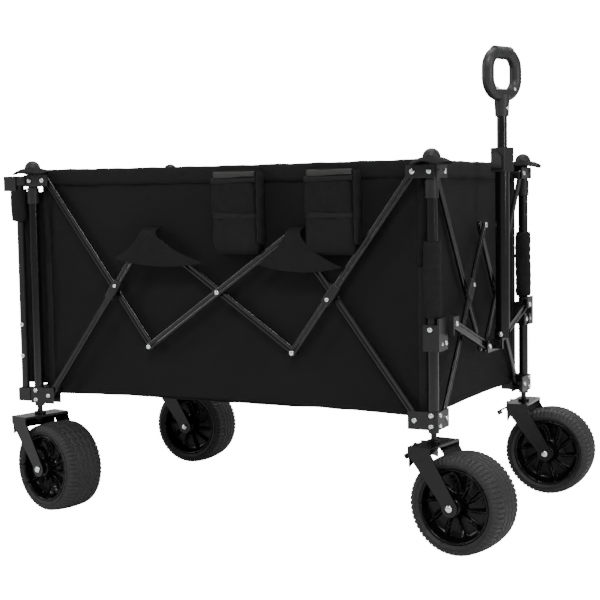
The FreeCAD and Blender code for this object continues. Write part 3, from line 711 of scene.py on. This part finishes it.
def rivet(name, place, axis, body, d=0.011, h=0.0038):
    """A bright domed rivet head: its height falls as a cosine from the middle to the edge."""
    r = np.array([0.0, 0.25, 0.5, 0.72, 0.88, 0.97, 1.0, 1.0]) * d / 2
    z = np.r_[h * np.cos(np.linspace(0, 1, 7) ** 1.1 * math.pi / 2.3), 0.0]
    o = turned(name, np.stack([r, z], -1), "zinc", place, axis, 18)
    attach(o, body)


def make_bars():
    """The twenty scissor bars with their rivets and the plastic sliders at the end crossings."""
    for node, start, end, axis in bar_table():
        o = bar_visual(node, start, end, axis)
        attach(o, node)
        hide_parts(node)
        key = node[-1]
        a, b, w = np.array(start), np.array(end), np.array(axis, float)
        face = w * 0.0039
        if key in "bcg":
            rivet(node + "_rivet_top", b + face, w, node)
        if key == "c":
            rivet(node + "_rivet_mid", (a + b) / 2 + face, w, node)
            rivet(node + "_rivet_low", a + face, w, node)
        if key in "ej":
            rivet(node + "_rivet_low", b + face, w, node)
        if key in "begj":
            rise = 0.3673 if key in "be" else 0.377
            mid = a + (b - a) * (0.245 / rise)
            slider(node, mid, (b - a) / np.linalg.norm(b - a), w)


def slider(node, mid, way, axis):
    """The moulded pad at a sliding crossing: a rounded box that narrows at both ends, with a screw."""
    s = np.array([-0.024, -0.0232, -0.021, -0.010, 0.0, 0.010, 0.021, 0.0232, 0.024])
    grow = np.array([0.6, 0.88, 1, 1, 1.04, 1, 1, 0.88, 0.6])
    base = round_box_section(0.0205, 0.0112, 5.0, 24)
    section = base[None] * grow[:, None, None]
    grid = sweep(mid + s[:, None] * way + axis * 0.0012, section, axis)
    body = capped_tube(node + "_slider", grid, "plastic")
    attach(body, node)
    rivet(node + "_slider_screw", mid + way * 0.012 + axis * 0.0066, axis, node, 0.009, 0.003)


def make_post_details():
    """The ribbed collars under the top brackets and the padded sleeves of the front posts."""
    for name, (sx, sy) in CORNERS.items():
        z = np.linspace(0.696, 0.731, 60)
        r = 0.0131 + 0.0005 * (np.sin((z - 0.696) * 2 * math.pi / 0.0058) > -0.2)
        r[0] = r[-1] = 0.0112
        foot = (sx * POST_X, sy * POST_Y, 0)
        o = turned("collar_" + name, np.stack([r, z], -1)[::-1], "plastic", foot, (0, 0, 1), 40)
        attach(o, "post_" + name)
    for name in ("front_right", "front_left"):
        sx, sy = CORNERS[name]
        z = np.linspace(0.461, 0.610, 70)[:, None]
        t = np.linspace(0, 2 * math.pi, 49)[None, :]
        r = 0.0168 + 0.0009 * np.sin(t * 3 + z * 40) * np.sin((z - 0.461) * math.pi / 0.149)
        r = r + 0.0005 * np.sin(z * 310 + 2 * np.sin(t))
        r = r * (1 - 0.08 * np.exp(-((z - 0.461) / 0.004) ** 2) - 0.08 * np.exp(-((z - 0.610) / 0.004) ** 2))
        grid = np.stack([sx * POST_X + r * np.cos(t), sy * POST_Y + r * np.sin(t), z + 0 * t], -1)
        o = cloth("sleeve_" + name, grid, "sleeve", 0.002)
        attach(o, "post_" + name)
        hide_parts("post_sleeve_" + name)


# ---------------------------------------------------------------- casters


def wheel_axes(name):
    """Wheel centre, rolling direction and axle direction of a caster at rest."""
    sx, sy = CORNERS[name]
    t = math.radians(SWIVELS[name])
    way, axle = np.array([math.cos(t), math.sin(t), 0]), np.array([-math.sin(t), math.cos(t), 0])
    return np.array([sx * POST_X, sy * POST_Y, 0.1]) + TRAIL * way, way, axle


def round_axle(centre, way, axle, t, r, h):
    """Points at angle t, radius r and height h about a wheel's axle."""
    ring = np.cos(t)[..., None] * way + np.sin(t)[..., None] * UP
    return centre + r[..., None] * ring + h[..., None] * axle


def tyre_grid(centre, way, axle):
    """Tread surface: a crowned profile r0 - 0.003 (a / 0.8)^2 with rounded shoulders, cut 2.6 mm deep by four
    zigzag grooves, slots between the shoulder blocks and fine slanted sipes, each as exp(-x^4)."""
    half, flat = 0.0497, 0.0445
    t = np.linspace(0, 2 * math.pi, 540, endpoint=False)[:, None]
    edge = np.linspace(flat, half, 6)[1:]
    w = np.concatenate([-edge[::-1], np.linspace(-flat, flat, 58), edge])[None, :]
    a = np.abs(w) / half
    crown = 0.0998 - 0.0030 * (a / 0.8) ** 2 - 0.0145 * np.clip((a - 0.78) / 0.22, 0, 1) ** 2.6
    zig = 0.0026 * (np.abs(((t * 30 / (2 * math.pi)) % 1.0) - 0.5) * 4 - 1)
    cut = np.zeros(np.broadcast(t, w).shape)
    for c in (-0.0225, -0.0075, 0.0075, 0.0225):
        cut = np.maximum(cut, np.exp(-(((w - c - zig) / 0.0013) ** 4)))
    lug = (t * 60 / (2 * math.pi) + np.sign(w) * 0.25) % 1.0
    cut = np.maximum(cut, (a > 0.55) * np.exp(-(((lug - 0.5) / 0.13) ** 4)))
    sipe = (t * 60 / (2 * math.pi) + w / 0.012) % 1.0
    cut = np.maximum(cut, (a < 0.55) * 0.55 * np.exp(-(((sipe - 0.5) / 0.09) ** 4)))
    r = crown - 0.0026 * cut * np.clip((1 - a) / 0.06, 0, 1)
    wall_r = np.broadcast_to([0.0846, 0.0790, 0.0752], (len(t), 3))
    wall_w = np.broadcast_to([0.0499, 0.0485, 0.0440], (len(t), 3))
    rr = np.concatenate([wall_r[:, ::-1], r, wall_r], 1)
    ww = np.concatenate([-wall_w[:, ::-1], np.broadcast_to(w, r.shape), wall_w], 1)
    return round_axle(centre, way, axle, t, rr, ww)


def rim_grid(centre, way, axle, s):
    """One face of a rim: lip, dish and ten curved spokes that rise as exp(-x^4). s is the side, 1 or -1."""
    profile = np.array(
        [
            [0.0752, 0.0400],
            [0.0752, 0.0446],
            [0.0738, 0.0462],
            [0.0722, 0.0462],
            [0.0700, 0.0450],
            [0.0690, 0.0420],
            [0.0686, 0.0300],
            [0.0640, 0.0215],
            [0.0560, 0.0195],
            [0.0460, 0.0190],
            [0.0360, 0.0190],
            [0.0270, 0.0200],
            [0.0210, 0.0240],
            [0.0185, 0.0330],
            [0.0175, 0.0460],
            [0.0165, 0.0485],
            [0.0120, 0.0500],
            [0.0055, 0.0500],
        ]
    )
    t = np.linspace(0, 2 * math.pi, 320, endpoint=False)[:, None]
    r, h = profile[None, :, 0], profile[None, :, 1]
    bend = t + s * 0.30 * (r - 0.02) / 0.05
    phase = (bend * 10 / (2 * math.pi)) % 1.0 - 0.5
    width = np.abs(phase) * (2 * math.pi / 10) * r
    on = (r < 0.0695) & (r > 0.0178)
    z = h + 0.0150 * np.exp(-((width / 0.0023) ** 4)) * on * (0.55 + 0.45 * (r - 0.018) / 0.05)
    return round_axle(centre, way, axle, t, np.broadcast_to(r, z.shape), s * z)


def make_wheels():
    """Tyres and rims, each replacing its CAD node."""
    for name in CORNERS:
        centre, way, axle = wheel_axes(name)
        grid = tyre_grid(centre, way, axle)
        o = mesh("tread_" + name, grid, quads(grid.shape[0], grid.shape[1], wrap_r=True)[:, ::-1], "tyre")
        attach(o, "wheel_" + name)
        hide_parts("tyre_" + name)
        faces = []
        for s in (-1, 1):
            g = rim_grid(centre, way, axle, s)
            f = quads(g.shape[0], g.shape[1], wrap_r=True)
            faces.append(mesh("rim_face_%s_%d" % (name, s > 0), g, f if s > 0 else f[:, ::-1], "rim"))
        o = joined("rim_faces_" + name, faces)
        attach(o, "wheel_" + name)
        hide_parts("rim_" + name)
        for s in (-1, 1):
            nut = "axle_nut_%s_%d" % (name, s > 0)
            rivet(nut, centre + s * axle * 0.0622, s * axle, "fork_" + name, 0.0150, 0.0055)


def make_fork_skirts():
    """The lip pressed down from the leading edge of each crown: a flat plate whose lower edge is arched
    and whose top rolls back into the crown on a small radius."""
    for name in CORNERS:
        centre, way, axle = wheel_axes(name)
        stem = centre - TRAIL * way
        u = np.linspace(-1, 1, 41)[None, :, None]
        v = np.linspace(0, 1, 17)[:, None, None]
        drop = 0.026 + 0.010 * np.abs(u) ** 3
        roll = np.clip(1 - v / 0.12, 0, 1)
        grid = stem + axle * u * 0.0585 - way * (0.0230 - 0.0022 * roll**2) + UP * (0.1080 - drop * v)
        o = cloth("fork_skirt_" + name, grid, "fork", 0.003)
        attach(o, "fork_" + name)


# ---------------------------------------------------------------- handle details


def handle_point(x, y, z):
    """A point given in the twisted handle's own axes, in metres."""
    c, s = math.cos(math.radians(-20.0)), math.sin(math.radians(-20.0))
    return np.array([POST_X + HANDLE_OUT + x * c - y * s, x * s + y * c, z])


def make_grip_details():
    """Ribs on the ring's top bar and the screws of the grip."""
    ribs = []
    axis = handle_point(0, 1, 0) - handle_point(0, 0, 0)
    profile = [(0.0125, -0.0020), (0.0138, -0.0014), (0.0141, 0.0), (0.0138, 0.0014), (0.0125, 0.0020)]
    for i in range(9):
        centre = handle_point(0, (i - 4) * 0.0062, 0.997)
        ribs.append(turned("grip_rib_%d" % i, profile, "soft_plastic", centre, axis, 40))
    o = joined("grip_ribs", ribs)
    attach(o, "handle_upper")
    axis = handle_point(1, 0, 0) - handle_point(0, 0, 0)
    for i, place in enumerate(((0.0158, 0.0, 0.880), (0.0122, -0.030, 0.921), (0.0122, 0.030, 0.921))):
        rivet("grip_screw_%d" % i, handle_point(*place), axis, "handle_upper", 0.0075, 0.0016)


def make_rivets():
    """Bright heads on the brackets, the arm blocks, the yoke and the rear stays."""
    heads = []
    face = 0.0137
    for name, (sx, sy) in CORNERS.items():
        body = "post_" + name
        for z, screws in ((0.257, (0.011, -0.011)), (0.747, (0.0,))):
            for dx, dz in [(0.0355, 0)] + [(0, s) for s in screws]:
                heads.append((body, (sx * (POST_X - dx), sy * (POST_Y + face), z + dz), (0, sy, 0)))
                if dx or z < 0.5:
                    heads.append((body, (sx * (POST_X + face), sy * (POST_Y - dx), z + dz), (sx, 0, 0)))
    for side, sy in (("right", -1), ("left", 1)):
        body = "post_front_" + side
        heads.append((body, (POST_X + 0.0311, sy * 0.240, 0.445), (1, 0, 0)))
        for dy in (0.004, 0.028):
            heads.append((body, (POST_X + 0.0161, sy * (POST_Y - dy), 0.409), (1, 0, 0)))
        heads.append((body, (POST_X, sy * (POST_Y + 0.0161), 0.438), (0, sy, 0)))
    for s in (-1, 1):
        heads.append(("handle_yoke", (POST_X + 0.0301, s * 0.037, 0.378), (1, 0, 0)))
        heads.append(("handle_yoke", (POST_X + HANDLE_OUT, s * 0.0157, 0.402), (0, s, 0)))
    for side, sy in (("right", -1), ("left", 1)):
        for z in (0.346, 0.418):
            heads.append(("post_rear_" + side, (STAY_X, sy * (POST_Y + 0.0084), z), (0, sy, 0)))
    for i, (body, place, axis) in enumerate(heads):
        rivet("rivet_%02d_%s" % (i, body), place, axis, body)


# ---------------------------------------------------------------- CAD materials


def dress_frame():
    """The looks of the CAD nodes that are shown as they are."""
    looks = {
        "post_": "frame",
        "brackets_": "bracket",
        "cap_": "plastic",
        "fork_": "fork",
        "brake_": "fork",
        "handle_arm": "frame",
        "handle_yoke": "frame",
        "handle_lower": "frame",
        "handle_clamp": "plastic",
        "handle_button": "button",
        "handle_upper": "frame",
        "handle_grip": "soft_plastic",
    }
    for name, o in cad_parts.items():
        for key, look in looks.items():
            if name.startswith(key):
                o.data.materials.clear()
                o.data.materials.append(MAT[look])


# ---------------------------------------------------------------- stage


def seen_bright(tree, shade, strength):
    """Adds a plain white glow to a shader that only straight views see."""
    glow = tree.nodes.new("ShaderNodeEmission")
    rays = tree.nodes.new("ShaderNodeLightPath")
    mix = tree.nodes.new("ShaderNodeMixShader")
    glow.inputs[1].default_value = strength
    tree.links.new(rays.outputs[0], mix.inputs[0])
    tree.links.new(shade, mix.inputs[1])
    tree.links.new(glow.outputs[0], mix.inputs[2])
    return mix.outputs[0]


def aimed(o, right, up, back, place):
    """Put an object at a place with its own axes along three directions."""
    m = np.eye(4)
    m[:3, 0], m[:3, 1], m[:3, 2], m[:3, 3] = right, up, back, place
    o.matrix_world = Matrix(m.tolist())


def make_stage():
    """Pale floor and backdrop, soft lights and the camera."""
    glow = 16.0
    floor_mat = Shader("floor_white", (0.9, 0.9, 0.9), 0.9)
    lit = seen_bright(floor_mat.tree, floor_mat.bsdf.outputs[0], glow)
    floor_mat.tree.links.new(lit, floor_mat.tree.nodes["Material Output"].inputs[0])
    data = bpy.data.meshes.new("floor")
    s = 60.0
    corners = [(-s, -s), (s, -s), (s, s), (-s, s)]
    data.from_pydata([(x, y, -0.0004) for x, y in corners], [], [(0, 1, 2, 3)])
    data.materials.append(floor_mat.mat)
    floor = bpy.data.objects.new("floor", data)
    bpy.context.scene.collection.objects.link(floor)
    world = bpy.data.worlds.new("studio")
    world.use_nodes = True
    nodes, links = world.node_tree.nodes, world.node_tree.links
    nodes["Background"].inputs[0].default_value = (1, 1, 1, 1)
    nodes["Background"].inputs[1].default_value = 0.5
    out = seen_bright(world.node_tree, nodes["Background"].outputs[0], glow)
    links.new(out, nodes["World Output"].inputs[0])
    bpy.context.scene.world = world
    for name, place, target, size, power in (
        ("key", (1.2, -2.6, 3.2), (0, 0, 0.4), (2.2, 0.35), 105),
        ("left", (-3.2, -2.0, 2.0), (-0.2, 0, 0.4), (0.4, 1.8), 42),
        ("front", (3.2, -0.8, 1.5), (0.4, 0, 0.4), (0.3, 1.5), 36),
        ("top", (0.0, 0.2, 3.4), (0, 0, 0.5), (2.6, 1.0), 60),
        ("back", (0.6, 3.2, 2.4), (0, 0, 0.5), (2.0, 1.0), 40),
    ):
        lamp = bpy.data.lights.new(name, "AREA")
        lamp.shape, lamp.energy = "RECTANGLE", power
        lamp.size, lamp.size_y = size
        o = bpy.data.objects.new(name, lamp)
        bpy.context.scene.collection.objects.link(o)
        d = np.array(target, float) - np.array(place, float)
        d /= np.linalg.norm(d)
        right = np.cross(d, (0, 0, 1.0))
        right /= np.linalg.norm(right)
        aimed(o, right, np.cross(right, d), -d, place)
    cam_data = bpy.data.cameras.new("camera")
    cam_data.sensor_width, cam_data.lens = 36.0, 79.9
    cam = bpy.data.objects.new("camera", cam_data)
    bpy.context.scene.collection.objects.link(cam)
    yaw, pitch, roll = math.radians(27.11), math.radians(-4.53), math.radians(-0.94)
    d = np.array([-math.sin(yaw) * math.cos(pitch), math.cos(yaw) * math.cos(pitch), math.sin(pitch)])
    r = np.array([math.cos(yaw), math.sin(yaw), 0.0])
    u = np.cross(r, d)
    right = math.cos(roll) * r + math.sin(roll) * u
    up = -math.sin(roll) * r + math.cos(roll) * u
    aimed(cam, right, up, -d, np.array([1.439, -2.724, 0.706]) - ORIGIN)
    bpy.context.scene.camera = cam


dress_frame()
make_walls()
make_hems()
make_seams()
make_patches()
make_flaps()
make_gussets()
make_corner_rolls()
make_floor()
make_pockets()
make_bars()
make_post_details()
make_wheels()
make_fork_skirts()
make_grip_details()
make_rivets()
make_stage()
